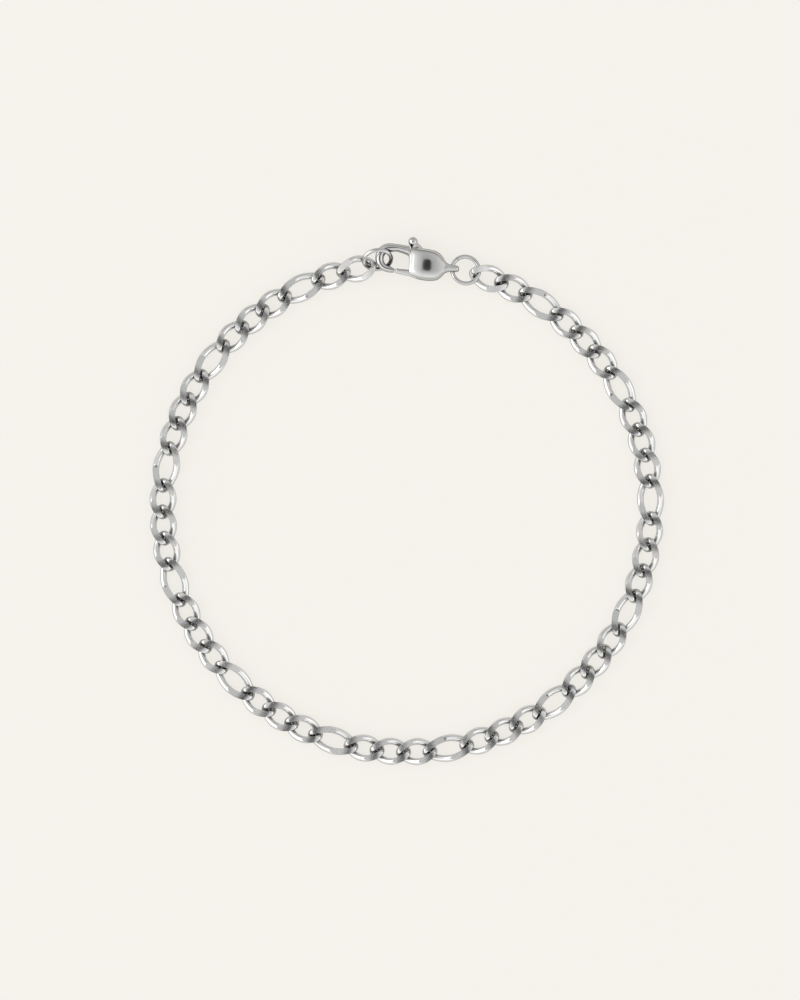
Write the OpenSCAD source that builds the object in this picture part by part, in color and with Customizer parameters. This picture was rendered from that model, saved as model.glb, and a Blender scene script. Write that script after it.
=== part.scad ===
// Link bracelet: a ground flat curb chain of short and long links,
// closed by a claw clasp that hooks into a jump ring.
// It lies on a surface at z = 0 as a closed round loop, with the loop's centre at the origin.

/* [Chain] */
// Number of long links
long_links_count = 12; // [9:1:15]
// Number of short links between two long links
shorts_between = 3; // [2:1:4]
// Number of short links between an end ring and the nearest long link
end_shorts = 2; // [1:1:4]
// Diameter of the wire that the links are bent from
wire_d = 0.75; // [0.68:0.01:0.78]
// Length that each short link adds to the chain
short_pitch = 3.27; // [3.15:0.01:3.6]
// Length that each long link adds to the chain
long_pitch = 4.62; // [4.2:0.02:5.6]
// Play of two links along the chain
link_play = 0.33; // [0.24:0.01:0.36]
// Play of two wires across the opening of a link
side_play = 0.27; // [0.22:0.01:0.45]
// Twist of a link's ends in degrees, which lays the links flat
link_twist = 50; // [46:1:52]
// Thickness of the chain after both faces are ground flat
chain_thickness = 1.24; // [1.16:0.02:1.36]

/* [Jump rings] */
// Diameter of the wire of the two jump rings
ring_wire_d = 0.43; // [0.36:0.01:0.48]
// Inside diameter of the two jump rings
ring_inner_d = 2.97; // [2.8:0.01:3.1]
// Width of the butt joint in a jump ring
ring_seam = 0.05; // [0.02:0.01:0.1]
// Play between the tail ring and the first link
first_link_play = 0.22; // [0.18:0.01:0.26]
// Play between the hook ring and the last link
last_link_play = 0.42; // [0.36:0.01:0.46]
// Play between the tail ring and the tail eye
eye_play = 0.07; // [0.04:0.01:0.1]
// Play between the hook ring and the bend of the hook
hook_play = 0.42; // [0.36:0.01:0.5]

/* [Clasp body] */
// Length of the clasp's body without its hook and tail
body_length = 4.4; // [4.2:0.05:5.2]
// Width of the clasp's body
body_width = 3.97; // [3.8:0.01:4.6]
// Thickness of the clasp's body at its middle
clasp_thickness = 2.8; // [2.7:0.05:3.1]
// Distance from the body's mouth end to the lever's pin
pin_inset = 1.62; // [1.5:0.02:1.8]
// Distance from the body's lower edge to the lever's pin
pin_height = 0.9; // [0.88:0.01:1]
// Length of the tail beyond the body
tail_length = 1.78; // [1.7:0.02:2.2]
// Width of the tail
tail_width = 0.9; // [0.8:0.02:1]
// Thickness of the tail round its eye
tail_thickness = 1.6; // [1.5:0.05:1.8]
// Height of the tail's middle line over the pin
tail_rise = 0.95; // [0.85:0.01:1.05]
// Diameter of the eye through the tail
eye_d = 0.84; // [0.8:0.01:0.9]
// Metal left between the eye and the end of the tail
eye_wall = 0.39; // [0.34:0.01:0.44]

/* [Hook] */
// Outside radius of the hook's bend
hook_r = 1.8; // [1.75:0.01:1.95]
// Distance from the body's mouth end to the middle of the bend
hook_reach = 2.49; // [2.4:0.01:2.9]
// Distance of the bend's middle below the body's upper edge
hook_drop = 1.64; // [1.6:0.01:1.8]
// Width of the hook's bar at its bend
hook_bar = 0.95; // [0.85:0.01:1.05]
// Width of the hook's tip
tip_w = 0.46; // [0.4:0.01:0.54]
// Thickness of the hook at its bend
hook_thickness = 1.3; // [1.2:0.02:1.4]

/* [Lever] */
// Thickness of the lever
lever_thickness = 1.1; // [0.9:0.05:1.2]
// Length of the gate from the pin to its front
gate_length = 3.28; // [3.2:0.01:3.4]
// Width of the gate at its front
gate_w = 0.56; // [0.5:0.01:0.64]
// Height of the gate's upper edge over the pin
gate_top = 0.2; // [0.15:0.01:0.25]
// Radius of the boss round the pin
boss_r = 0.6; // [0.55:0.01:0.62]
// Diameter of the thumb knob
knob_d = 1.14; // [1:0.02:1.2]
// Distance of the knob's middle from the pin, towards the hook
knob_back = 1.47; // [1.4:0.01:1.55]
// Distance of the knob's middle above the body's upper edge
knob_rise = 0.66; // [0.66:0.01:0.8]
// Width of the thumb tab where it leaves the body
tab_w = 1.5; // [1.3:0.02:1.6]
// Angle through which the lever opens
lever_travel = 25; // [20:1:25]
// Play between the lever and the walls of its slot
lever_play = 0.08; // [0.06:0.01:0.1]
// Gap between the gate's front and the hook's tip
gate_gap = 0.08; // [0.06:0.01:0.12]
// Diameter of the lever's pin
pin_d = 0.6; // [0.5:0.02:0.64]
// Play of the pin in the lever
pin_play = 0.04; // [0.02:0.01:0.08]
// Play of the pin in the body
pin_seat_play = 0.01; // [0.01:0.01:0.02]
// Depth of the pin's ends below the thickest part of the body
pin_recess = 0.08; // [0.07:0.01:0.2]

/* [How it lies] */
// Bearing of the clasp round the loop, clockwise from +Y in degrees
clasp_bearing = 3.6; // [0:0.1:360]
// Turn of the clasp against the line of the loop in degrees
clasp_yaw = 2.6; // [1.6:0.1:3.6]
// Distance of the lever's pin inside the chain's circle
pin_inside = 1.07; // [0.9:0.01:1.2]

/* [Hidden] */
steel = [0.80, 0.79, 0.78];
// segments round a link, sides of its wire and fineness of true circles
link_segments = 16;
wire_angles = [0, 300, 240, 180, 120, 60];
round_fn = 48;
// how the two jump rings lie: tilt about the chain, tilt across it and height of the middle
tail_ring_lie = [-11.3, 10.6, 1.08];
hook_ring_lie = [47, 14, 1.54];
// bearing of the butt joint round each ring
tail_ring_seam = 133;
hook_ring_seam = 250;
// how the end links lean against their rings: roll and pitch
first_link_lean = [7, 4.3];
last_link_lean = [11.3, -4.5];

// the links in their order, clockwise from the tail ring
links = 2 * end_shorts + long_links_count + (long_links_count - 1) * shorts_between;
last_long = links - 1 - end_shorts;
function is_long(i) = i >= end_shorts && i <= last_long && (i - end_shorts) % (shorts_between + 1) == 0;
function pitch(i) = is_long(i) ? long_pitch : short_pitch;
function arc_to(i) = i == 0 ? 0 : arc_to(i - 1) + (pitch(i - 1) + pitch(i)) / 2;
function lean(i) = i == 0 ? first_link_lean : i == links - 1 ? last_link_lean : [0, 0];
chain_arc = arc_to(links - 1);

// sizes of the links, to the middle of their wire
wire_r = wire_d / 2;
flat_z = chain_thickness / 2;
half_w = (3 * wire_d + side_play) / 2;
function half_l(link_pitch) = (link_pitch + wire_d + link_play) / 2;

// sizes and places of the rings, in the clasp's own frame round the pin
ring_r = (ring_inner_d + ring_wire_d) / 2;
body_left = -pin_inset;
body_right = body_left + body_length;
body_low = -pin_height;
body_top = body_low + body_width;
tail_end = body_right + tail_length;
eye_x = tail_end - eye_wall - eye_d / 2;
bend = [body_left - hook_reach, body_top - hook_drop];
tail_ring_at = [eye_x + ring_r - eye_play, tail_rise];
// the hook ring's middle lies a little further out than the tail ring's, as its tilt lets it
hook_ring_out = 0.09;
hook_ring_at = [bend.x - hook_r + hook_bar + hook_play + 1.5 * ring_wire_d - ring_r, tail_rise + hook_ring_out];
tail_reach = ring_r + half_l(short_pitch) - (ring_wire_d + wire_d) / 2 - first_link_play;
hook_reach_to_link = ring_r + half_l(short_pitch) - (ring_wire_d + wire_d) / 2 - last_link_play;

// turns of a point about the axes
function turn_x(p, a) = [p.x, p.y * cos(a) - p.z * sin(a), p.y * sin(a) + p.z * cos(a)];
function turn_y(p, a) = [p.x * cos(a) + p.z * sin(a), p.y, p.z * cos(a) - p.x * sin(a)];
function turn_z(p, a) = [p.x * cos(a) - p.y * sin(a), p.x * sin(a) + p.y * cos(a), p.z];
function unit(v) = v / norm(v);

// the loop's radius follows from the chain's length and the room that the clasp takes
function pin_place(r) = (r - pin_inside) * [sin(clasp_bearing), cos(clasp_bearing), 0];
function from_clasp(p, r) = pin_place(r) + turn_z([p.x, p.y, 0], -clasp_bearing - clasp_yaw);
function angle_between(p, r, reach) =
    let (d = norm(p)) acos((d * d + r * r - reach * reach) / (2 * d * r));
function bearing(p) = atan2(p.x, p.y);
function first_bearing(r) =
    let (p = from_clasp(tail_ring_at, r)) bearing(p) + angle_between(p, r, tail_reach);
function last_bearing(r) =
    let (p = from_clasp(hook_ring_at, r)) bearing(p) - angle_between(p, r, hook_reach_to_link);
function clasp_angle(r) = (first_bearing(r) - last_bearing(r) + 360) % 360;
function settle_radius(r, tries) =
    tries == 0 ? r : settle_radius(chain_arc / ((360 - clasp_angle(r)) * PI / 180), tries - 1);
loop_r = settle_radius(chain_arc / PI / 2, 16);
first_at = first_bearing(loop_r);
function link_bearing(i) = first_at + arc_to(i) / loop_r * 180 / PI;

module place_clasp() {
    translate(pin_place(loop_r)) rotate([0, 0, -clasp_bearing - clasp_yaw]) children();
}

// triangles between rings of points; a closed sweep joins its last ring to its first
function band_faces(rings, sides, closed, start) = [
    for (i = [0 : closed ? rings - 1 : rings - 2], j = [0 : sides - 1])
        let (a = start + i * sides, b = start + ((i + 1) % rings) * sides, k = (j + 1) % sides)
        each [[a + j, b + j, b + k], [a + j, b + k, a + k]]
];

// one link: a twisted oval of wire, cut off flat at both faces
function link_middle(half_len, t) =
    let (turn = link_twist * cos(t))
    [half_len * cos(t), half_w * sin(t) * cos(turn), -half_w * sin(t) * sin(turn)];
// an upper or lower corner of the wire slides round it until it lies in the ground face
function ground_angle(a, middle_z, up_z) =
    sin(a) == 0 ? a :
    let (side = sign(sin(a)), room = (flat_z - side * middle_z) / (wire_r * up_z),
         lift = asin(max(-1, min(abs(sin(a)), room))))
    cos(a) > 0 ? side * lift : 180 - side * lift;
function wire_section(half_len, t) =
    let (m = link_middle(half_len, t),
         along = unit(link_middle(half_len, t + 1) - link_middle(half_len, t - 1)),
         side = unit([along.y, -along.x, 0]), up = cross(side, along))
    [for (a = wire_angles) let (g = ground_angle(a, m.z, up.z)) m + wire_r * (cos(g) * side + sin(g) * up)];
function link_points(half_len) = [
    for (s = [0 : link_segments - 1]) each wire_section(half_len, 360 * s / link_segments)
];
// a link at its place in the loop, with its lowest point on the surface
function lay_link(points, i) =
    let (a = link_bearing(i), leaning = [for (p = points) turn_y(turn_x(p, lean(i)[0]), lean(i)[1])],
         low = min([for (p = leaning) p.z]))
    [for (p = leaning) turn_z(p, -a) + [loop_r * sin(a), loop_r * cos(a), -low]];

// all links of one length, side by side and nowhere touching
module links_of(long) {
    sides = len(wire_angles);
    chosen = [for (i = [0 : links - 1]) if (is_long(i) == long) i];
    points = link_points(half_l(long ? long_pitch : short_pitch));
    faces = [for (k = [0 : len(chosen) - 1])
        each band_faces(link_segments, sides, true, k * link_segments * sides)];
    polyhedron([for (i = chosen) each lay_link(points, i)], faces);
}

module short_links() { color(steel) links_of(false); }
module long_links() { color(steel) links_of(true); }

// a jump ring of round wire, with its butt joint
module jump_ring(centre, ring_lie, seam) {
    open_angle = ring_seam / ring_r * 180 / PI;
    place_clasp() translate([centre.x, centre.y, ring_lie[2]]) rotate([ring_lie[0], ring_lie[1], 0])
        rotate([0, 0, seam + open_angle / 2]) rotate_extrude(angle = 360 - open_angle, $fn = round_fn)
            translate([ring_r, 0]) circle(d = ring_wire_d, $fn = round_fn);
}

module tail_ring() { color(steel) jump_ring(tail_ring_at, tail_ring_lie, tail_ring_seam); }
module hook_ring() { color(steel) jump_ring(hook_ring_at, hook_ring_lie, hook_ring_seam); }

// Sections of the clasp's body from the hook's tip to the tail's end. Each is
// [inner or lower point, outer or upper point, half thickness].
section_points = 16;
roundness = 0.72;
tip_x = -gate_length - gate_gap;
tip_y = gate_top - gate_w / 2;
inner_r = hook_r - hook_bar;
// the opening's bend lies off the outer one, which makes the bar wider towards the arm
opening_shift = [0.1, -0.14];
hook_low = bend.y - hook_r;

// sections round the bend, by angle from the tip side to the arm; the bar grows thicker
// towards the arm and thinner towards the tip by these shares
arm_gain = 0.14;
tip_loss = 0.1;
function bend_section(a) =
    [bend + opening_shift + inner_r * [cos(a), sin(a)], bend + hook_r * [cos(a), sin(a)],
     hook_thickness / 2 * (1 + arm_gain * max(0, sin(a)) - tip_loss * max(0, -sin(a)))];
tip_sections = [
    [[tip_x, tip_y + tip_w / 2], [tip_x, tip_y - tip_w / 2], 0.44 * hook_thickness],
    [[(tip_x + bend.x) / 2, tip_y + 0.64 * tip_w], [(tip_x + bend.x) / 2, hook_low], 0.46 * hook_thickness]
];
bend_sections = [for (a = [270 : -20 : 90]) bend_section(a)];

// the arm: share of the way from the bend to the body, lower and upper edge in shares of
// the arm's width there, thickness between the hook's and the body's
arm_rows = [
    // along, lower, upper, thick
    [0.28, 0.05, 0.985, 0.12],
    [0.55, -0.10, 0.96, 0.30],
    [0.79, -0.26, 0.90, 0.50],
    [0.92, -0.45, 0.87, 0.64]
];
arm_low = bend.y + hook_r - hook_bar;
arm_sections = [for (row = arm_rows)
    let (x = bend.x + row[0] * hook_reach)
    [[x, arm_low + row[1] * hook_bar], [x, arm_low + row[2] * hook_bar],
     (hook_thickness + row[3] * (clasp_thickness - hook_thickness)) / 2]];

// the body: share of its length, lower and upper edge in shares of its width, thickness share
body_rows = [
    // along, lower, upper, thick
    [-0.018, 0.590, 1.000, 0.780],
    [0.000, 0.310, 1.000, 0.800],
    [0.018, 0.110, 1.000, 0.850],
    [0.075, 0.068, 1.000, 0.930],
    [0.200, 0.033, 1.000, 0.985],
    [0.370, 0.004, 1.000, 1.000],
    [0.550, 0.000, 0.990, 0.990],
    [0.710, 0.020, 0.950, 0.950],
    [0.830, 0.062, 0.882, 0.880],
    [0.925, 0.155, 0.780, 0.770],
    [1.000, 0.262, 0.665, 0.655]
];
body_sections = [for (row = body_rows)
    let (x = body_left + row[0] * body_length)
    [[x, body_low + row[1] * body_width], [x, body_low + row[2] * body_width], row[3] * clasp_thickness / 2]];

// the tail: share of its length, width share, thickness share
tail_rows = [
    // along, width, thick
    [0.17, 1.28, 1.05],
    [0.42, 1.02, 1.00],
    [0.72, 0.80, 0.98],
    [0.91, 0.52, 0.80],
    [1.00, 0.18, 0.42]
];
tail_sections = [for (row = tail_rows)
    let (x = body_right + row[0] * tail_length, w = row[1] * tail_width / 2)
    [[x, tail_rise - w], [x, tail_rise + w], row[2] * tail_thickness / 2]];

// a pillow shaped ring of points in the plane of a section
function swell(s) = sign(s) * pow(abs(s), roundness);
function section_ring(s) =
    let (middle = (s[0] + s[1]) / 2, out = (s[1] - s[0]) / 2)
    [for (k = [0 : section_points - 1])
        let (a = 360 * k / section_points, p = middle + out * swell(cos(a)))
        [p.x, p.y, s[2] * swell(sin(a))]];

module clasp_shell() {
    sections = concat(tip_sections, bend_sections, arm_sections, body_sections, tail_sections);
    last = len(sections) - 1;
    caps = [[for (k = [0 : section_points - 1]) k],
            [for (k = [section_points - 1 : -1 : 0]) last * section_points + k]];
    polyhedron([for (s = sections) each section_ring(s)],
        concat(band_faces(last + 1, section_points, false, 0), caps));
}

// where a point of the lever goes when the lever is fully open
function opened(p) = let (q = turn_z([p.x, p.y, 0], -lever_travel)) [q.x, q.y];
knob_at = [-knob_back, body_top + knob_rise];
// the tab's sides where it leaves the body, and where its right side meets the knob
tab_left = [-knob_back - 0.2 * knob_d, body_top];
tab_right = [tab_left.x + tab_w, body_top];
knob_side = 15;
// the slot's upper edge at the mouth clears the opened gate a little beyond the body's end
mouth_reach = 1.15 * pin_inset;
mouth_top = opened([-mouth_reach, gate_top]).y + lever_play;

// room for the lever between the two cheeks of the body
module lever_room() {
    room_r = boss_r + lever_play;
    swung = opened(tab_right);
    // how far the room runs out of the body, and the share that blunts its corner at the pin
    beyond = 1;
    blunt = 0.6;
    high = body_top + beyond;
    slope_left = (tab_left.x + boss_r) / tab_left.y;
    slope_right = (swung.x - room_r) / swung.y;
    linear_extrude(height = lever_thickness + 2 * lever_play, center = true) {
        polygon([
            [body_left - beyond, body_low - beyond],
            [-boss_r, body_low - beyond],
            [-boss_r, -room_r],
            [room_r * blunt, -room_r],
            [room_r, -room_r * blunt],
            [room_r + lever_play, 0],
            [room_r + lever_play + slope_right * high, high],
            [-room_r - lever_play + slope_left * high, high],
            [-room_r - lever_play + slope_left * mouth_top, mouth_top],
            [body_left - beyond, mouth_top]
        ]);
    }
}

module clasp_body() {
    color(steel) place_clasp() translate([0, 0, clasp_thickness / 2]) difference() {
        clasp_shell();
        lever_room();
        cylinder(d = pin_d + 2 * pin_seat_play, h = 2 * clasp_thickness, center = true, $fn = round_fn);
        translate([eye_x, tail_rise, 0]) rotate([90, 0, 0])
            cylinder(d = eye_d, h = 2 * tail_width, center = true, $fn = round_fn);
    }
}

module clasp_lever() {
    color(steel) place_clasp() translate([0, 0, clasp_thickness / 2]) difference() {
        union() {
            linear_extrude(height = lever_thickness, center = true) {
                polygon([
                    [-gate_length, gate_top],
                    [-gate_length, gate_top - gate_w],
                    [0, -boss_r],
                    [boss_r, 0],
                    tab_right,
                    knob_at + knob_d / 2 * [cos(knob_side), sin(knob_side)],
                    knob_at,
                    tab_left,
                    [-boss_r, gate_top]
                ]);
            }
            cylinder(r = boss_r, h = lever_thickness, center = true, $fn = round_fn);
            translate([knob_at.x, knob_at.y, 0]) sphere(d = knob_d, $fn = round_fn);
        }
        cylinder(d = pin_d + 2 * pin_play, h = 2 * lever_thickness, center = true, $fn = round_fn);
    }
}

module clasp_pin() {
    color(steel) place_clasp() translate([0, 0, clasp_thickness / 2])
        cylinder(d = pin_d, h = clasp_thickness - 2 * pin_recess, center = true, $fn = round_fn);
}

clasp_body();
clasp_lever();
clasp_pin();
tail_ring();
hook_ring();
short_links();
long_links();
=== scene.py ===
import math
import random
import bmesh
import bpy
from mathutils import Matrix, Vector


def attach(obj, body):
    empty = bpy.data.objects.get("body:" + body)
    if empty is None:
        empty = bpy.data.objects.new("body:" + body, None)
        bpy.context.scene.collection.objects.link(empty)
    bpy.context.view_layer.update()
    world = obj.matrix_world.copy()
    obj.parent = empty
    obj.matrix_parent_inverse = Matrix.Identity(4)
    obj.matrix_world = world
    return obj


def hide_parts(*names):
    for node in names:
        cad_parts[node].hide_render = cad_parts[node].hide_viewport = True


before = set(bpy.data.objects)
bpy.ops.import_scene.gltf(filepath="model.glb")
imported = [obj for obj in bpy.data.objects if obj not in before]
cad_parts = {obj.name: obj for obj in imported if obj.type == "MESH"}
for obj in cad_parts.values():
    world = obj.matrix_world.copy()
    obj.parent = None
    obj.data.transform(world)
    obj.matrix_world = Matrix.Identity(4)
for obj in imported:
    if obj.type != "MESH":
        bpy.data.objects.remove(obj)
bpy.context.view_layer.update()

# Sizes, in millimetres and degrees, the same as the part's own
MM = 0.001
LOOP_R = 30.2116
FIRST_LINK_AT = 19.6868
LONG_LINKS = 12
SHORTS_BETWEEN = 3
END_SHORTS = 2
WIRE_D = 0.75
SHORT_PITCH = 3.27
LONG_PITCH = 4.62
LINK_PLAY = 0.33
SIDE_PLAY = 0.27
LINK_TWIST = math.radians(50)
CHAIN_THICKNESS = 1.24
FIRST_LEAN = (7, 4.3)
LAST_LEAN = (11.3, -4.5)

PIN_PLACE = (1.82981, 29.0841)
CLASP_TURN = -6.2
CLASP_THICKNESS = 2.8
RING_WIRE_D = 0.43
RING_INNER_D = 2.97
RING_SEAM = 0.05
TAIL_RING = ((5.38, 0.95), (-11.3, 10.6, 1.08), 133)
HOOK_RING = ((-5.595, 1.04), (47, 14, 1.54), 250)

# The real wire is round: a little thicker than the six-sided one that stands in for it
ROUND_WIRE_D = 0.8
ROUND_RING_WIRE_D = 0.5
WIRE_SIDES = 24
LINK_STEPS = 72


def hex_colour(text):
    """A linear colour from an sRGB hex value."""
    channels = [int(text[i:i + 2], 16) / 255 for i in (0, 2, 4)]
    return [c / 12.92 if c <= 0.04045 else ((c + 0.055) / 1.055) ** 2.4 for c in channels] + [1.0]


def turned(degrees, axis):
    return Matrix.Rotation(math.radians(degrees), 4, axis)


def add_node(tree, kind, links=(), **settings):
    """A node with its settings, and its links as (from node, its output, this input)."""
    new = tree.nodes.new(kind)
    for name, value in settings.items():
        if name.startswith("in_"):
            new.inputs[name[3:].replace("_", " ")].default_value = value
        else:
            setattr(new, name, value)
    for source, output, target in links:
        tree.links.new(source.outputs[output], new.inputs[target])
    return new


# Painted shade in the recesses of the steel and round the foot of every wire: its reach, how open a
# place is where the painted shade is full and where it ends, and its shade against the bare steel
RECESS_REACH = 3.0
RECESS_OPEN = (0.12, 0.64)
RECESS_SHADE = 0.27
# How light the steel stays where it turns away
EDGE_TINT = 0.3
SHADE_SAMPLES = 8
# The clouds in the finish are this many times as wide as its grit
CLOUD_PER_GRIT = 6
NOISE_LOW = 0.3
NOISE_HIGH = 0.7


def steel(name, colour, roughness, spread, grit_mm, bump_mm, streak=None):
    """Steel with a finish of its own: uneven roughness and fine marks at a real size, and painted shade in
    its recesses.
    """
    made = bpy.data.materials.new(name)
    made.use_nodes = True
    tree = made.node_tree
    shader = tree.nodes["Principled BSDF"]
    shader.inputs["Metallic"].default_value = 1.0
    shader.inputs["Specular Tint"].default_value = (EDGE_TINT, EDGE_TINT, EDGE_TINT, 1)
    # painted shade: the steel's colour is made darker in the recesses and round the foot of every wire,
    # where they are less open
    open_share = add_node(tree, "ShaderNodeAmbientOcclusion", samples=SHADE_SAMPLES,
                          in_Distance=RECESS_REACH * MM)
    painted_recess_shade = add_node(tree, "ShaderNodeValToRGB", [(open_share, "AO", "Fac")])
    painted_recess_shade.color_ramp.elements[0].position, painted_recess_shade.color_ramp.elements[1].position = RECESS_OPEN
    painted_recess_shade.color_ramp.elements[0].color = [c * RECESS_SHADE for c in hex_colour(colour)[:3]] + [1]
    painted_recess_shade.color_ramp.elements[1].color = hex_colour(colour)
    tree.links.new(painted_recess_shade.outputs["Color"], shader.inputs["Base Color"])
    place = add_node(tree, "ShaderNodeTexCoord")
    output = "Object"
    scale = (1 / MM, 1 / MM, 1 / MM)
    if streak:
        output = "UV"
        scale = streak
    mapped = add_node(tree, "ShaderNodeMapping", [(place, output, "Vector")], in_Scale=scale)
    cloud = add_node(tree, "ShaderNodeTexNoise", [(mapped, "Vector", "Vector")],
                     in_Scale=1 / (CLOUD_PER_GRIT * grit_mm), in_Detail=3.0)
    grit = add_node(tree, "ShaderNodeTexNoise", [(mapped, "Vector", "Vector")],
                    in_Scale=1 / grit_mm, in_Detail=4.0, in_Roughness=0.6)
    rough = add_node(tree, "ShaderNodeMapRange", [(cloud, "Fac", "Value")],
                     in_From_Min=NOISE_LOW, in_From_Max=NOISE_HIGH,
                     in_To_Min=roughness - spread, in_To_Max=roughness + spread)
    tree.links.new(rough.outputs["Result"], shader.inputs["Roughness"])
    bump = add_node(tree, "ShaderNodeBump", [(grit, "Fac", "Height")],
                    in_Strength=1.0, in_Distance=bump_mm * MM)
    tree.links.new(bump.outputs["Normal"], shader.inputs["Normal"])
    return made


# One stainless steel throughout: the wire's base colours are painted lighter, as painted light, and the
# casting's darker, as painted shade
# Stainless steel wire, drawn and barrel polished: near mirror with soft, slightly clouded glints
WIRE_STEEL = steel("polished_stainless_wire", "e4e4e3", 0.12, 0.04, 0.12, 0.0012)
# Stainless steel ground flat and lightly polished: a greyer face with fine short grinding marks
GROUND_STEEL = steel("ground_stainless_face", "e8e8e7", 0.18, 0.05, 0.1, 0.006, (1.0, 4.0, 1.0))
# Stainless steel wire of the rings: a shade greyer than the chain's wire, a painted shade, with the same
# soft glints
RING_STEEL = steel("stainless_ring_painted_darker", "cacac9", 0.14, 0.04, 0.12, 0.0012)
# its base colour is a shade darker than the wire steel's: painted shade
# Cast stainless steel, tumble polished: soft mirror over a faint orange peel
CAST_STEEL = steel("cast_polished_stainless", "c8c8c7", 0.13, 0.04, 0.25, 0.0015)


def finished(bm, name, materials, body, replaced, place=None):
    """The mesh, in metres at its place, as a piece of the scene."""
    bm.transform((place or Matrix.Identity(4)))
    bm.transform(Matrix.Scale(MM, 4))
    mesh = bpy.data.meshes.new(name)
    bm.to_mesh(mesh)
    bm.free()
    for material in materials:
        mesh.materials.append(material)
    piece = bpy.data.objects.new(name, mesh)
    bpy.context.scene.collection.objects.link(piece)
    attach(piece, body)
    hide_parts(*replaced)
    return piece


def crease(bm, degrees):
    """Smooth faces, with a sharp line wherever two of them meet at more than this angle."""
    limit = math.radians(degrees)
    for face in bm.faces:
        face.smooth = True
    for edge in bm.edges:
        edge.smooth = len(edge.link_faces) == 2 and edge.calc_face_angle() < limit


# Links
HALF_W = (3 * WIRE_D + SIDE_PLAY) / 2
FLAT_Z = CHAIN_THICKNESS / 2
# The upper face is ground a little less than the lower one
TOP_FLAT_Z = FLAT_Z + 0.06
GROUND_WITHIN = 1e-5
# The crown of a ground face: its top lies this far in from the link's end, and it falls off as a
# square outwards and, as far as its reach, inwards
CROWN_IN = 0.46
OUTER_CROWN = 0.2
INNER_CROWN = 0.075
CROWN_REACH = 0.9
# How much the crown's place and its tilt differ from end to end
PLACE_WEAR = 0.12
TILT_WEAR = 0.05
LINK_CREASE = 30
AHEAD = 0.01
chance = random.Random(7)


def link_middle(half_len, t):
    """The middle of a link's wire: an oval whose ends are twisted against each other."""
    turn = LINK_TWIST * math.cos(t)
    across = HALF_W * math.sin(t)
    return Vector((half_len * math.cos(t), across * math.cos(turn), -across * math.sin(turn)))


def wire_ring(bm, middle, along, radius, sides):
    """A circle of points across a wire, and its edges."""
    side = Vector((along.y, -along.x, 0)).normalized()
    up = side.cross(along)
    place = Matrix((side, up, along)).transposed().to_4x4()
    place.translation = middle
    made = bmesh.ops.create_circle(bm, segments=sides, radius=radius, matrix=place)
    return list({edge for vert in made["verts"] for edge in vert.link_edges})


def grind(bm, side, half_len, wear):
    """Grinds one face of a link, which tumbling has left crowned, a little otherwise at every end."""
    def crown(vert):
        shift, slope = wear[vert.co.x > 0]
        past = abs(vert.co.x) - half_len + CROWN_IN - shift
        if past > 0:
            drop = OUTER_CROWN * past ** 2
        else:
            bent = min(-past, CROWN_REACH)
            drop = INNER_CROWN * bent * (-2 * past - bent)
        return side * (drop + slope * vert.co.y)

    flat_z = TOP_FLAT_Z if side > 0 else FLAT_Z
    for vert in bm.verts:
        vert.co.z += crown(vert)
    bmesh.ops.bisect_plane(bm, geom=bm.verts[:] + bm.edges[:] + bm.faces[:], dist=0.003,
                           plane_co=(0, 0, side * flat_z), plane_no=(0, 0, side))
    for vert in bm.verts:
        if vert.co.z * side > flat_z:
            vert.co.z = side * flat_z
    for face in bm.faces:
        if all(abs(vert.co.z - side * flat_z) < GROUND_WITHIN for vert in face.verts):
            face.material_index = 1
    for vert in bm.verts:
        vert.co.z -= crown(vert)


def link_mesh(pitch):
    """One link, ground flat at both faces of the chain."""
    half_len = (pitch + WIRE_D + LINK_PLAY) / 2
    bm = bmesh.new()
    rings = []
    for i in range(LINK_STEPS):
        t = 2 * math.pi * i / LINK_STEPS
        along = (link_middle(half_len, t + AHEAD) - link_middle(half_len, t - AHEAD)).normalized()
        rings.append(wire_ring(bm, link_middle(half_len, t), along, ROUND_WIRE_D / 2, WIRE_SIDES))
    for i in range(LINK_STEPS):
        bmesh.ops.bridge_loops(bm, edges=rings[i] + rings[(i + 1) % LINK_STEPS])
    bmesh.ops.recalc_face_normals(bm, faces=bm.faces)
    for side in (1, -1):
        wear = [(chance.uniform(-PLACE_WEAR, PLACE_WEAR), chance.uniform(-TILT_WEAR, TILT_WEAR))
                for end in range(2)]
        grind(bm, side, half_len, wear)
    crease(bm, LINK_CREASE)
    marks = bm.loops.layers.uv.new("link_plan")
    for face in bm.faces:
        for corner in face.loops:
            corner[marks].uv = corner.vert.co.xy
    mesh = bpy.data.meshes.new("link")
    bm.to_mesh(mesh)
    bm.free()
    return mesh


def link_place(mesh, bearing, lean):
    """Where a link lies round the loop, with its lowest point on the surface."""
    leaning = turned(lean[1], "Y") @ turned(lean[0], "X")
    low = min((leaning @ vert.co).z for vert in mesh.vertices)
    angle = math.radians(bearing)
    there = Matrix.Translation((LOOP_R * math.sin(angle), LOOP_R * math.cos(angle), -low))
    return there @ turned(-bearing, "Z") @ leaning


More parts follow.
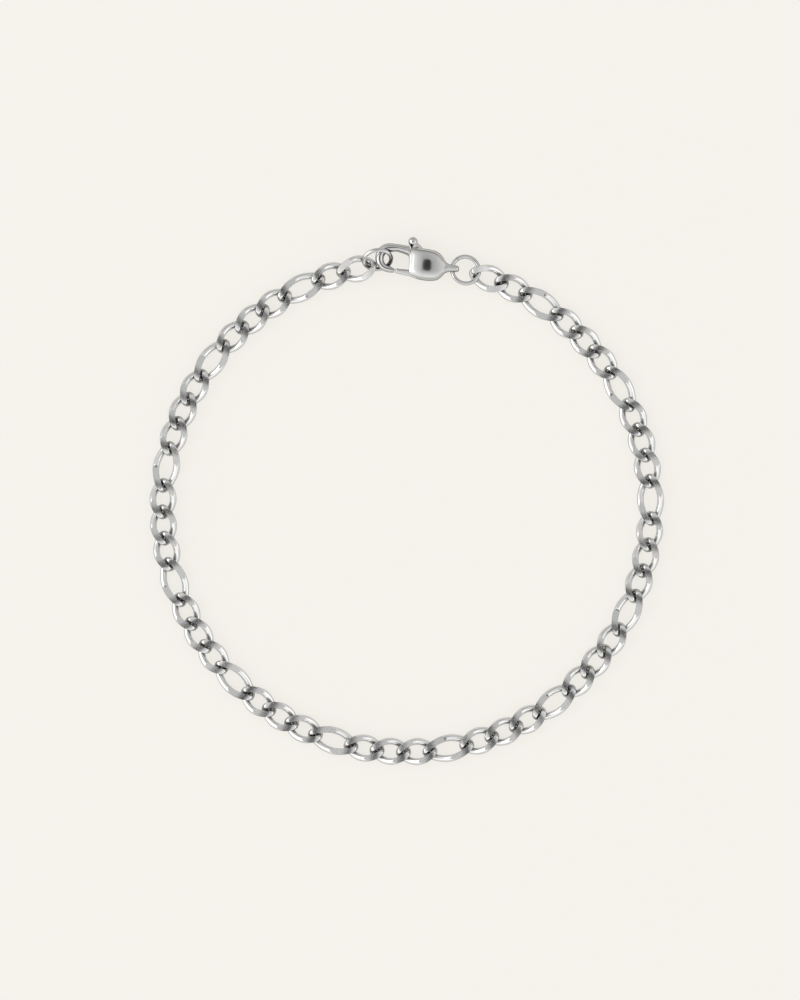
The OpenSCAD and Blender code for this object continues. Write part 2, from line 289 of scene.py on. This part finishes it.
def chain():
    """The short links and the long links, each all in one piece."""
    count = 2 * END_SHORTS + LONG_LINKS + (LONG_LINKS - 1) * SHORTS_BETWEEN
    pieces = {False: bmesh.new(), True: bmesh.new()}
    bearing = FIRST_LINK_AT
    before = SHORT_PITCH
    for i in range(count):
        inside = END_SHORTS <= i < count - END_SHORTS
        is_long = inside and (i - END_SHORTS) % (SHORTS_BETWEEN + 1) == 0
        pitch = LONG_PITCH if is_long else SHORT_PITCH
        if i:
            bearing += math.degrees((before + pitch) / 2 / LOOP_R)
        before = pitch
        lean = FIRST_LEAN if i == 0 else LAST_LEAN if i == count - 1 else (0, 0)
        piece = pieces[is_long]
        known = len(piece.verts)
        shape = link_mesh(pitch)
        piece.from_mesh(shape)
        piece.verts.ensure_lookup_table()
        bmesh.ops.transform(piece, matrix=link_place(shape, bearing, lean), verts=piece.verts[known:])
        bpy.data.meshes.remove(shape)
    for is_long, name in ((False, "short_link_wires"), (True, "long_link_wires")):
        node = "long_links" if is_long else "short_links"
        finished(pieces[is_long], name, [WIRE_STEEL, GROUND_STEEL], "bracelet", [node])


chain()

# Clasp and rings, in the clasp's own frame round its pin
clasp_frame = Matrix.Translation((PIN_PLACE[0], PIN_PLACE[1], 0)) @ turned(CLASP_TURN, "Z")
RING_STEPS = 90
RING_CREASE = 40


def jump_ring(name, node, centre, lie, seam):
    """A ring of round wire, bent shut to a butt joint."""
    middle_r = (RING_INNER_D + RING_WIRE_D) / 2
    open_angle = RING_SEAM / middle_r
    bm = bmesh.new()
    upright = Matrix.Translation((middle_r, 0, 0)) @ turned(90, "X")
    made = bmesh.ops.create_circle(bm, segments=WIRE_SIDES, radius=ROUND_RING_WIRE_D / 2,
                                   matrix=upright, cap_ends=True)
    start = bm.faces[:]
    bmesh.ops.rotate(bm, verts=made["verts"], cent=(0, 0, 0),
                     matrix=Matrix.Rotation(open_angle / 2, 3, "Z"))
    bmesh.ops.spin(bm, geom=start, cent=(0, 0, 0), axis=(0, 0, 1),
                   angle=2 * math.pi - open_angle, steps=RING_STEPS)
    bmesh.ops.recalc_face_normals(bm, faces=bm.faces)
    crease(bm, RING_CREASE)
    place = (clasp_frame @ Matrix.Translation((centre[0], centre[1], lie[2])) @ turned(lie[1], "Y")
             @ turned(lie[0], "X") @ turned(seam, "Z"))
    finished(bm, name, [RING_STEEL], "bracelet", [node], place)


jump_ring("tail_ring_wire", "tail_ring", *TAIL_RING)
jump_ring("hook_ring_wire", "hook_ring", *HOOK_RING)

# Clasp body: sections from the hook's tip, round its bend and along the body to the tail's end
BODY_LENGTH = 4.4
BODY_WIDTH = 3.97
PIN_INSET = 1.62
PIN_HEIGHT = 0.9
TAIL_LENGTH = 1.78
TAIL_WIDTH = 0.9
TAIL_THICKNESS = 1.6
TAIL_RISE = 0.95
EYE_D = 0.84
EYE_WALL = 0.39
HOOK_R = 1.8
HOOK_REACH = 2.49
HOOK_DROP = 1.64
HOOK_BAR = 0.95
TIP_W = 0.46
HOOK_THICKNESS = 1.3
LEVER_THICKNESS = 1.1
GATE_LENGTH = 3.28
GATE_W = 0.56
GATE_TOP = 0.2
BOSS_R = 0.6
KNOB_D = 1.14
KNOB_BACK = 1.47
KNOB_RISE = 0.66
TAB_W = 1.5
LEVER_TRAVEL = 25
LEVER_PLAY = 0.08
GATE_GAP = 0.08
PIN_D = 0.6
PIN_PLAY = 0.04
PIN_SEAT_PLAY = 0.01
# The gate's heel, where it widens, and its lowest point beside the boss
GATE_HEEL = (-1.4, -0.58)
GATE_LOW = -0.8
# The gate thins by this share a millimetre towards its outer edge
GATE_THINNING = 0.5
EDGE_ROUNDING = 0.2
# The room for the lever: how far a cut goes past the body, its cut corner and the gate's sweep
CUT_PAST = 1
CORNER_CUT = 0.6
GATE_SWEEP = 1.15

BODY_LEFT = -PIN_INSET
BODY_RIGHT = BODY_LEFT + BODY_LENGTH
BODY_LOW = -PIN_HEIGHT
BODY_TOP = BODY_LOW + BODY_WIDTH
BEND = Vector((BODY_LEFT - HOOK_REACH, BODY_TOP - HOOK_DROP))
OPENING_SHIFT = Vector((0.1, -0.14))
TIP_X = -GATE_LENGTH - GATE_GAP
TIP_Y = GATE_TOP - GATE_W / 2
# How far left of its knob the tab starts, in knob diameters
TAB_SPREAD = 0.2
KNOB_AT = Vector((-KNOB_BACK, BODY_TOP + KNOB_RISE))
TAB_LEFT = Vector((-KNOB_BACK - TAB_SPREAD * KNOB_D, BODY_TOP))
TAB_RIGHT = TAB_LEFT + Vector((TAB_W, 0))
SECTION_POINTS = 96
BETWEEN = 8
TAB_BETWEEN = 4
ROD_SIDES = 48
EDGE_SEGMENTS = 8
KNOB_SEGMENTS = 40
MERGE_WITHIN = 0.0005
CLASP_CREASE = 35

HOOK_ROUNDNESS = 0.95
BODY_ROUNDNESS = 0.66
TAIL_ROUNDNESS = 0.9
TAB_ROUNDNESS = 0.95
# The hook: half its thickness at the tip and the neck, the neck's width as a share of the tip's, and
# how much thicker it is at the far side of its bend and thinner at the near side
TIP_THICK = 0.44
NECK_THICK = 0.46
NECK_W = 0.82
FAR_GAIN = 0.14
NEAR_LOSS = 0.1
BEND_STEP = 20
# Sections of the arm and body: place along it, lower edge, upper edge and thickness, all as shares of
# its own sizes, and in the arm's rows the roundness. The tail's rows: place, width and thickness
ARM_ROWS = [
    (0.28, -0.01, 0.985, 0.12, 0.95),
    (0.55, -0.11, 0.96, 0.20, 0.92),
    (0.79, -0.27, 0.91, 0.29, 0.86),
    (0.92, -0.45, 0.88, 0.35, 0.78),
]
BODY_ROWS = [
    (-0.018, 0.590, 0.935, 0.600),
    (0.000, 0.310, 0.970, 0.630),
    (0.018, 0.110, 0.985, 0.660),
    (0.075, 0.068, 1.000, 0.725),
    (0.140, 0.050, 1.000, 0.800),
    (0.240, 0.026, 1.000, 0.895),
    (0.370, 0.004, 1.000, 0.970),
    (0.550, 0.000, 0.990, 0.990),
    (0.710, 0.020, 0.950, 0.940),
    (0.830, 0.062, 0.882, 0.860),
    (0.925, 0.155, 0.780, 0.760),
    (1.000, 0.262, 0.665, 0.670),
]
TAIL_ROWS = [
    (0.17, 1.28, 1.12),
    (0.42, 1.02, 0.99),
    (0.72, 0.92, 0.84),
    (0.91, 0.80, 0.68),
    (1.00, 0.46, 0.42),
]
# The tab between the slot and its knob: where along the slot its sections lie, and its sections in the
# knob, as left x, left y, right x, right y in knob diameters. Thickness is a share of the lever's
TAB_SHARES = (0, 0.8, 1)
TAB_THICK = 0.6
KNOB_ROWS = [
    (-0.46, -0.20, 0.54, -0.10, 0.84),
    (-0.30, 0.00, 0.30, 0.05, 0.70),
]


def clasp_sections():
    """Each section as lower or inner point, upper or outer point, half its thickness and its roundness."""
    inner_r = HOOK_R - HOOK_BAR
    rows = [
        (TIP_X, TIP_Y + TIP_W / 2, TIP_X, TIP_Y - TIP_W / 2, TIP_THICK * HOOK_THICKNESS, HOOK_ROUNDNESS),
        ((TIP_X + BEND.x) / 2, TIP_Y + NECK_W * TIP_W, (TIP_X + BEND.x) / 2, BEND.y - HOOK_R,
         NECK_THICK * HOOK_THICKNESS, HOOK_ROUNDNESS),
    ]
    for degrees in range(270, 89, -BEND_STEP):
        toward = Vector((math.cos(math.radians(degrees)), math.sin(math.radians(degrees))))
        inner = BEND + OPENING_SHIFT + inner_r * toward
        outer = BEND + HOOK_R * toward
        gain = 1 + FAR_GAIN * max(0, toward.y) - NEAR_LOSS * max(0, -toward.y)
        rows.append((inner.x, inner.y, outer.x, outer.y, HOOK_THICKNESS / 2 * gain, HOOK_ROUNDNESS))
    arm_low = BEND.y + HOOK_R - HOOK_BAR
    for along, low, high, thick, roundness in ARM_ROWS:
        x = BEND.x + along * HOOK_REACH
        rows.append((x, arm_low + low * HOOK_BAR, x, arm_low + high * HOOK_BAR,
                     (HOOK_THICKNESS + thick * (CLASP_THICKNESS - HOOK_THICKNESS)) / 2, roundness))
    for along, low, high, thick in BODY_ROWS:
        x = BODY_LEFT + along * BODY_LENGTH
        rows.append((x, BODY_LOW + low * BODY_WIDTH, x, BODY_LOW + high * BODY_WIDTH,
                     thick * CLASP_THICKNESS / 2, BODY_ROUNDNESS))
    for along, wide, thick in TAIL_ROWS:
        x = BODY_RIGHT + along * TAIL_LENGTH
        reach = wide * TAIL_WIDTH / 2
        rows.append((x, TAIL_RISE - reach, x, TAIL_RISE + reach, thick * TAIL_THICKNESS / 2,
                     TAIL_ROUNDNESS))
    return rows


def between(rows, i, u):
    """A smooth curve through the sections, so that the body has no corners along its length."""
    a, b, c, d = (rows[max(0, min(len(rows) - 1, k))] for k in (i - 1, i, i + 1, i + 2))
    return [q + 0.5 * u * (r - p + u * (2 * p - 5 * q + 4 * r - w + u * (3 * (q - r) + w - p)))
            for p, q, r, w in zip(a, b, c, d)]


def swell(value, roundness):
    return math.copysign(abs(value) ** roundness, value)


def section_ring(bm, row):
    """A ring of points in the plane of a section, from oval to pillow shaped, and its edges."""
    low_x, low_y, high_x, high_y, half, roundness = row
    made = bmesh.ops.create_circle(bm, segments=SECTION_POINTS, radius=1)
    for vert in made["verts"]:
        across, up = swell(vert.co.x, roundness), swell(vert.co.y, roundness)
        vert.co = ((low_x + high_x) / 2 + across * (high_x - low_x) / 2,
                   (low_y + high_y) / 2 + across * (high_y - low_y) / 2, half * up)
    return list({edge for vert in made["verts"] for edge in vert.link_edges})


def solid(bm, name):
    """The mesh as an object of its own, for cutting and joining."""
    bmesh.ops.recalc_face_normals(bm, faces=bm.faces)
    mesh = bpy.data.meshes.new(name)
    bm.to_mesh(mesh)
    bm.free()
    made = bpy.data.objects.new(name, mesh)
    bpy.context.scene.collection.objects.link(made)
    return made


def joined(base, *steps):
    """The base with each (operation, tool) done to it, as a mesh. Base and tools are used up."""
    for operation, tool in steps:
        modifier = base.modifiers.new(operation, "BOOLEAN")
        modifier.operation = operation
        modifier.solver = "EXACT"
        modifier.object = tool
    shaped = base.evaluated_get(bpy.context.evaluated_depsgraph_get())
    bm = bmesh.new()
    bm.from_mesh(shaped.to_mesh())
    for used in [base] + [tool for operation, tool in steps]:
        bpy.data.objects.remove(used)
    bmesh.ops.remove_doubles(bm, verts=bm.verts, dist=MERGE_WITHIN)
    # points in the middle of a straight edge between two faces hold nothing
    bmesh.ops.dissolve_verts(bm, verts=[vert for vert in bm.verts if len(vert.link_edges) == 2])
    bmesh.ops.recalc_face_normals(bm, faces=bm.faces)
    return bm


def lofted(rows, steps, name):
    """A closed solid through a row of sections."""
    bm = bmesh.new()
    rings = [section_ring(bm, between(rows, i, step / steps))
             for i in range(len(rows) - 1) for step in range(steps)]
    rings.append(section_ring(bm, rows[-1]))
    for before, after in zip(rings, rings[1:]):
        bmesh.ops.bridge_loops(bm, edges=before + after)
    bmesh.ops.holes_fill(bm, edges=rings[0] + rings[-1], sides=0)
    return solid(bm, name)


def slab(points, thickness, name, rounding=0.0):
    """A plate with this outline, centred in its thickness, with its edges rounded if asked."""
    bm = bmesh.new()
    bmesh.ops.contextual_create(bm, geom=[bm.verts.new((x, y, -thickness / 2)) for x, y in points])
    grown = bmesh.ops.extrude_face_region(bm, geom=bm.faces[:])
    bmesh.ops.translate(bm, vec=(0, 0, thickness),
                        verts=[g for g in grown["geom"] if isinstance(g, bmesh.types.BMVert)])
    if rounding:
        bmesh.ops.bevel(bm, geom=bm.edges[:], offset=rounding, segments=EDGE_SEGMENTS, profile=0.5,
                        affect="EDGES", material=-1, clamp_overlap=True)
    return solid(bm, name)


def rod(diameter, length, name, place=None):
    """A round rod along Z, or as placed."""
    bm = bmesh.new()
    bmesh.ops.create_cone(bm, cap_ends=True, segments=ROD_SIDES, radius1=diameter / 2, radius2=diameter / 2,
                          depth=length)
    if place:
        bm.transform(place)
    return solid(bm, name)


def opened(x, y):
    return turned(-LEVER_TRAVEL, "Z") @ Vector((x, y, 0))


def lever_room():
    """The room for the lever between the two cheeks of the body."""
    room_r = BOSS_R + LEVER_PLAY
    swung = opened(*TAB_RIGHT)
    high = BODY_TOP + CUT_PAST
    left = (TAB_LEFT.x + BOSS_R) / TAB_LEFT.y
    right = (swung.x - room_r) / swung.y
    top = opened(-GATE_SWEEP * PIN_INSET, GATE_TOP).y + LEVER_PLAY
    return slab([
        (BODY_LEFT - CUT_PAST, BODY_LOW - CUT_PAST), (-BOSS_R, BODY_LOW - CUT_PAST), (-BOSS_R, -room_r),
        (room_r * CORNER_CUT, -room_r), (room_r, -room_r * CORNER_CUT), (room_r + LEVER_PLAY, 0),
        (room_r + LEVER_PLAY + right * high, high), (-room_r - LEVER_PLAY + left * high, high),
        (-room_r - LEVER_PLAY + left * top, top), (BODY_LEFT - CUT_PAST, top),
    ], LEVER_THICKNESS + 2 * LEVER_PLAY, "lever_room")


def clasp_body():
    """Hook, body and tail in one casting, with the lever's slot, the pin's hole and the tail's eye."""
    shell = lofted(clasp_sections(), BETWEEN, "clasp_shell")
    eye_x = BODY_RIGHT + TAIL_LENGTH - EYE_WALL - EYE_D / 2
    eye = Matrix.Translation((eye_x, TAIL_RISE, 0)) @ turned(90, "X")
    return joined(shell, ("DIFFERENCE", lever_room()),
                  ("DIFFERENCE", rod(PIN_D + 2 * PIN_SEAT_PLAY, 2 * CLASP_THICKNESS, "pin_hole")),
                  ("DIFFERENCE", rod(EYE_D, 2 * TAIL_WIDTH, "eye", eye)))


def clasp_lever():
    """Gate, thumb tab and knob in one piece."""
    gate = slab([
        (-GATE_LENGTH, GATE_TOP), (-GATE_LENGTH, GATE_TOP - GATE_W), GATE_HEEL,
        (-BOSS_R - LEVER_PLAY, GATE_LOW), (0, -BOSS_R), (BOSS_R, 0), (0, GATE_TOP),
    ], LEVER_THICKNESS, "gate", EDGE_ROUNDING)
    for vert in gate.data.vertices:
        vert.co.z *= 1 - GATE_THINNING * (GATE_TOP - vert.co.y)
    half = LEVER_THICKNESS / 2
    foot_left, foot_right = Vector((-BOSS_R, GATE_TOP)), Vector((BOSS_R, 0))
    rows = [(*foot_left.lerp(TAB_LEFT, share), *foot_right.lerp(TAB_RIGHT, share), TAB_THICK * half,
             TAB_ROUNDNESS) for share in TAB_SHARES]
    rows += [(KNOB_AT.x + left * KNOB_D, KNOB_AT.y + low * KNOB_D,
              KNOB_AT.x + right * KNOB_D, KNOB_AT.y + high * KNOB_D, thick * half, TAB_ROUNDNESS)
             for left, low, right, high, thick in KNOB_ROWS]
    tab = lofted(rows, TAB_BETWEEN, "tab")
    knob = bmesh.new()
    bmesh.ops.create_uvsphere(knob, u_segments=KNOB_SEGMENTS, v_segments=KNOB_SEGMENTS // 2,
                              radius=KNOB_D / 2, matrix=Matrix.Translation((KNOB_AT.x, KNOB_AT.y, 0)))
    return joined(gate, ("UNION", rod(2 * BOSS_R, LEVER_THICKNESS, "boss")), ("UNION", tab),
                  ("UNION", solid(knob, "knob")),
                  ("DIFFERENCE", rod(PIN_D + 2 * PIN_PLAY, 2 * LEVER_THICKNESS, "lever_bore")))


def clasp_pin():
    """A rivet, dressed flush with the body it sits in."""
    pin = rod(PIN_D, 2 * CLASP_THICKNESS, "pin_rod")
    return joined(pin, ("INTERSECT", lofted(clasp_sections(), BETWEEN, "clasp_shell")))


clasp_middle = clasp_frame @ Matrix.Translation((0, 0, CLASP_THICKNESS / 2))
for name, node, body, make in (
        ("clasp_casting", "clasp_body", "bracelet", clasp_body),
        ("clasp_gate", "clasp_lever", "lever", clasp_lever),
        ("clasp_pivot", "clasp_pin", "bracelet", clasp_pin)):
    shaped = make()
    crease(shaped, CLASP_CREASE)
    finished(shaped, name, [CAST_STEEL], body, [node], clasp_middle)

# The floor: a lit table of matt paper, which glows a little so that the shadows stay faint
GLOW = 0.85
FLOOR_REACH = 1.5
PAPER_COLOUR = hex_colour("f5f2ec")
# Painted shadow on the paper where wires cover it, as its glow fades: how near they are, and how open it is
# where it is dark and where it is lit
COVER_REACH = 1.2
COVERED = 0.06
UNCOVERED = 0.3
floor_mesh = bmesh.new()
bmesh.ops.create_grid(floor_mesh, x_segments=1, y_segments=1, size=FLOOR_REACH)
floor_data = bpy.data.meshes.new("floor")
floor_mesh.to_mesh(floor_data)
floor_mesh.free()
paper = bpy.data.materials.new("matt_backdrop_paper")
paper.use_nodes = True
paper_shader = paper.node_tree.nodes["Principled BSDF"]
paper_shader.inputs["Base Color"].default_value = [c * (1 - GLOW) for c in PAPER_COLOUR[:3]] + [1]
paper_shader.inputs["Roughness"].default_value = 1.0
paper_shader.inputs["Specular IOR Level"].default_value = 0.0
paper_shader.inputs["Emission Color"].default_value = PAPER_COLOUR
uncovered = add_node(paper.node_tree, "ShaderNodeAmbientOcclusion", samples=SHADE_SAMPLES,
                     in_Distance=COVER_REACH * MM)
# the glow fades where wires lie near: a painted shadow
glow_with_painted_shadow = add_node(paper.node_tree, "ShaderNodeMapRange", [(uncovered, "AO", "Value")],
                     in_From_Min=COVERED, in_From_Max=UNCOVERED, in_To_Min=0.0, in_To_Max=GLOW)
paper.node_tree.links.new(glow_with_painted_shadow.outputs["Result"], paper_shader.inputs["Emission Strength"])
floor_data.materials.append(paper)
floor = bpy.data.objects.new("floor", floor_data)
bpy.context.scene.collection.objects.link(floor)

# Light: a pale tent with a dim opening above, where the camera looks in, and a softbox at each side
bpy.context.scene.view_settings.view_transform = "Standard"
# The tent's walls pass into each other over this much of a turn
WALL_BLEND = 0.3
# A little over 1, so that the share of the side walls is never divided by nothing
OVER_ONE = 1.0001
world = bpy.data.worlds.new("tent")
world.use_nodes = True
sky = world.node_tree
direction = add_node(sky, "ShaderNodeTexCoord")
toward = add_node(sky, "ShaderNodeSeparateXYZ", [(direction, "Generated", "Vector")])


def tent_wall(levels):
    """Brightness by height, from the horizon at 0 to straight above at 1."""
    wall = add_node(sky, "ShaderNodeValToRGB", [(toward, "Z", "Fac")])
    ramp = wall.color_ramp
    ramp.interpolation = "EASE"
    while len(ramp.elements) < len(levels):
        ramp.elements.new(0.5)
    for element, (at, level) in zip(ramp.elements, levels):
        element.position = at
        element.color = (level, level, level, 1)
    return wall


def blend(share, first, second):
    """One wall passing into another."""
    return add_node(sky, "ShaderNodeMixRGB",
                    [(*share, "Fac"), (first, "Color", "Color1"), (second, "Color", "Color2")])


# The dim opening at the top of every wall, as height and brightness
OPENING = (0.991, 0.05)
near_wall = tent_wall([(0.0, 0.45), (0.3, 1.1), (0.6, 1.25), (0.8, 1.1),
                       (0.93, 0.82), (0.968, 0.68), OPENING])
far_wall = tent_wall([(0.0, 0.25), (0.3, 0.42), (0.6, 0.68), (0.8, 0.68),
                      (0.93, 0.62), (0.968, 0.61), OPENING])
left_wall = tent_wall([(0.0, 0.8), (0.35, 1.4), (0.7, 1.35), (0.85, 1.05),
                       (0.93, 0.8), (0.968, 0.67), OPENING])
right_wall = tent_wall([(0.0, 0.45), (0.35, 0.85), (0.7, 1.0), (0.85, 0.84),
                        (0.93, 0.72), (0.968, 0.64), OPENING])
farther = add_node(sky, "ShaderNodeMapRange", [(toward, "Y", "Value")],
                   in_From_Min=-WALL_BLEND, in_From_Max=WALL_BLEND)
righter = add_node(sky, "ShaderNodeMapRange", [(toward, "X", "Value")],
                   in_From_Min=-WALL_BLEND, in_From_Max=WALL_BLEND)
squared = add_node(sky, "ShaderNodeMath", [(toward, "X", 0), (toward, "X", 1)], operation="MULTIPLY")
upward = add_node(sky, "ShaderNodeMath", [(toward, "Z", 0), (toward, "Z", 1)], operation="MULTIPLY")
level = add_node(sky, "ShaderNodeMath", [(upward, "Value", 1)], operation="SUBTRACT")
level.inputs[0].default_value = OVER_ONE
sideways = add_node(sky, "ShaderNodeMath", [(squared, "Value", 0), (level, "Value", 1)], operation="DIVIDE")
tent = blend((sideways, "Value"), blend((farther, "Result"), near_wall, far_wall),
             blend((righter, "Result"), left_wall, right_wall))
sky.links.new(tent.outputs["Color"], sky.nodes["Background"].inputs["Color"])
bpy.context.scene.world = world


def softbox(name, place, size, radiance):
    """A rectangle of light that faces the bracelet."""
    data = bpy.data.lights.new(name, "AREA")
    data.shape = "RECTANGLE"
    data.size, data.size_y = size
    data.energy = radiance * math.pi * size[0] * size[1]
    lamp = bpy.data.objects.new(name, data)
    lamp.location = place
    lamp.rotation_euler = (-Vector(place)).to_track_quat("-Z", "Y").to_euler()
    bpy.context.scene.collection.objects.link(lamp)


softbox("softbox_left", (-1.3, 0.1, 0.62), (1.5, 1.3), 1.1)
softbox("softbox_right", (1.4, -0.1, 0.5), (1.1, 0.9), 0.6)

# Camera, straight above, framed as the photograph
PIXEL = 0.12379 * MM
VIEW = (-0.842 * MM, 0.978 * MM)
CAMERA_HEIGHT = 0.8
FRAMED_HEIGHT = 1.2 * MM
IMAGE_HEIGHT = 1000
SENSOR = 24
camera_data = bpy.data.cameras.new("camera")
camera = bpy.data.objects.new("camera", camera_data)
camera.location = (VIEW[0], VIEW[1], CAMERA_HEIGHT)
camera_data.sensor_fit = "VERTICAL"
camera_data.sensor_height = SENSOR
camera_data.lens = SENSOR * (CAMERA_HEIGHT - FRAMED_HEIGHT) / (IMAGE_HEIGHT * PIXEL)
camera_data.clip_start = 0.01
bpy.context.scene.collection.objects.link(camera)
bpy.context.scene.camera = camera
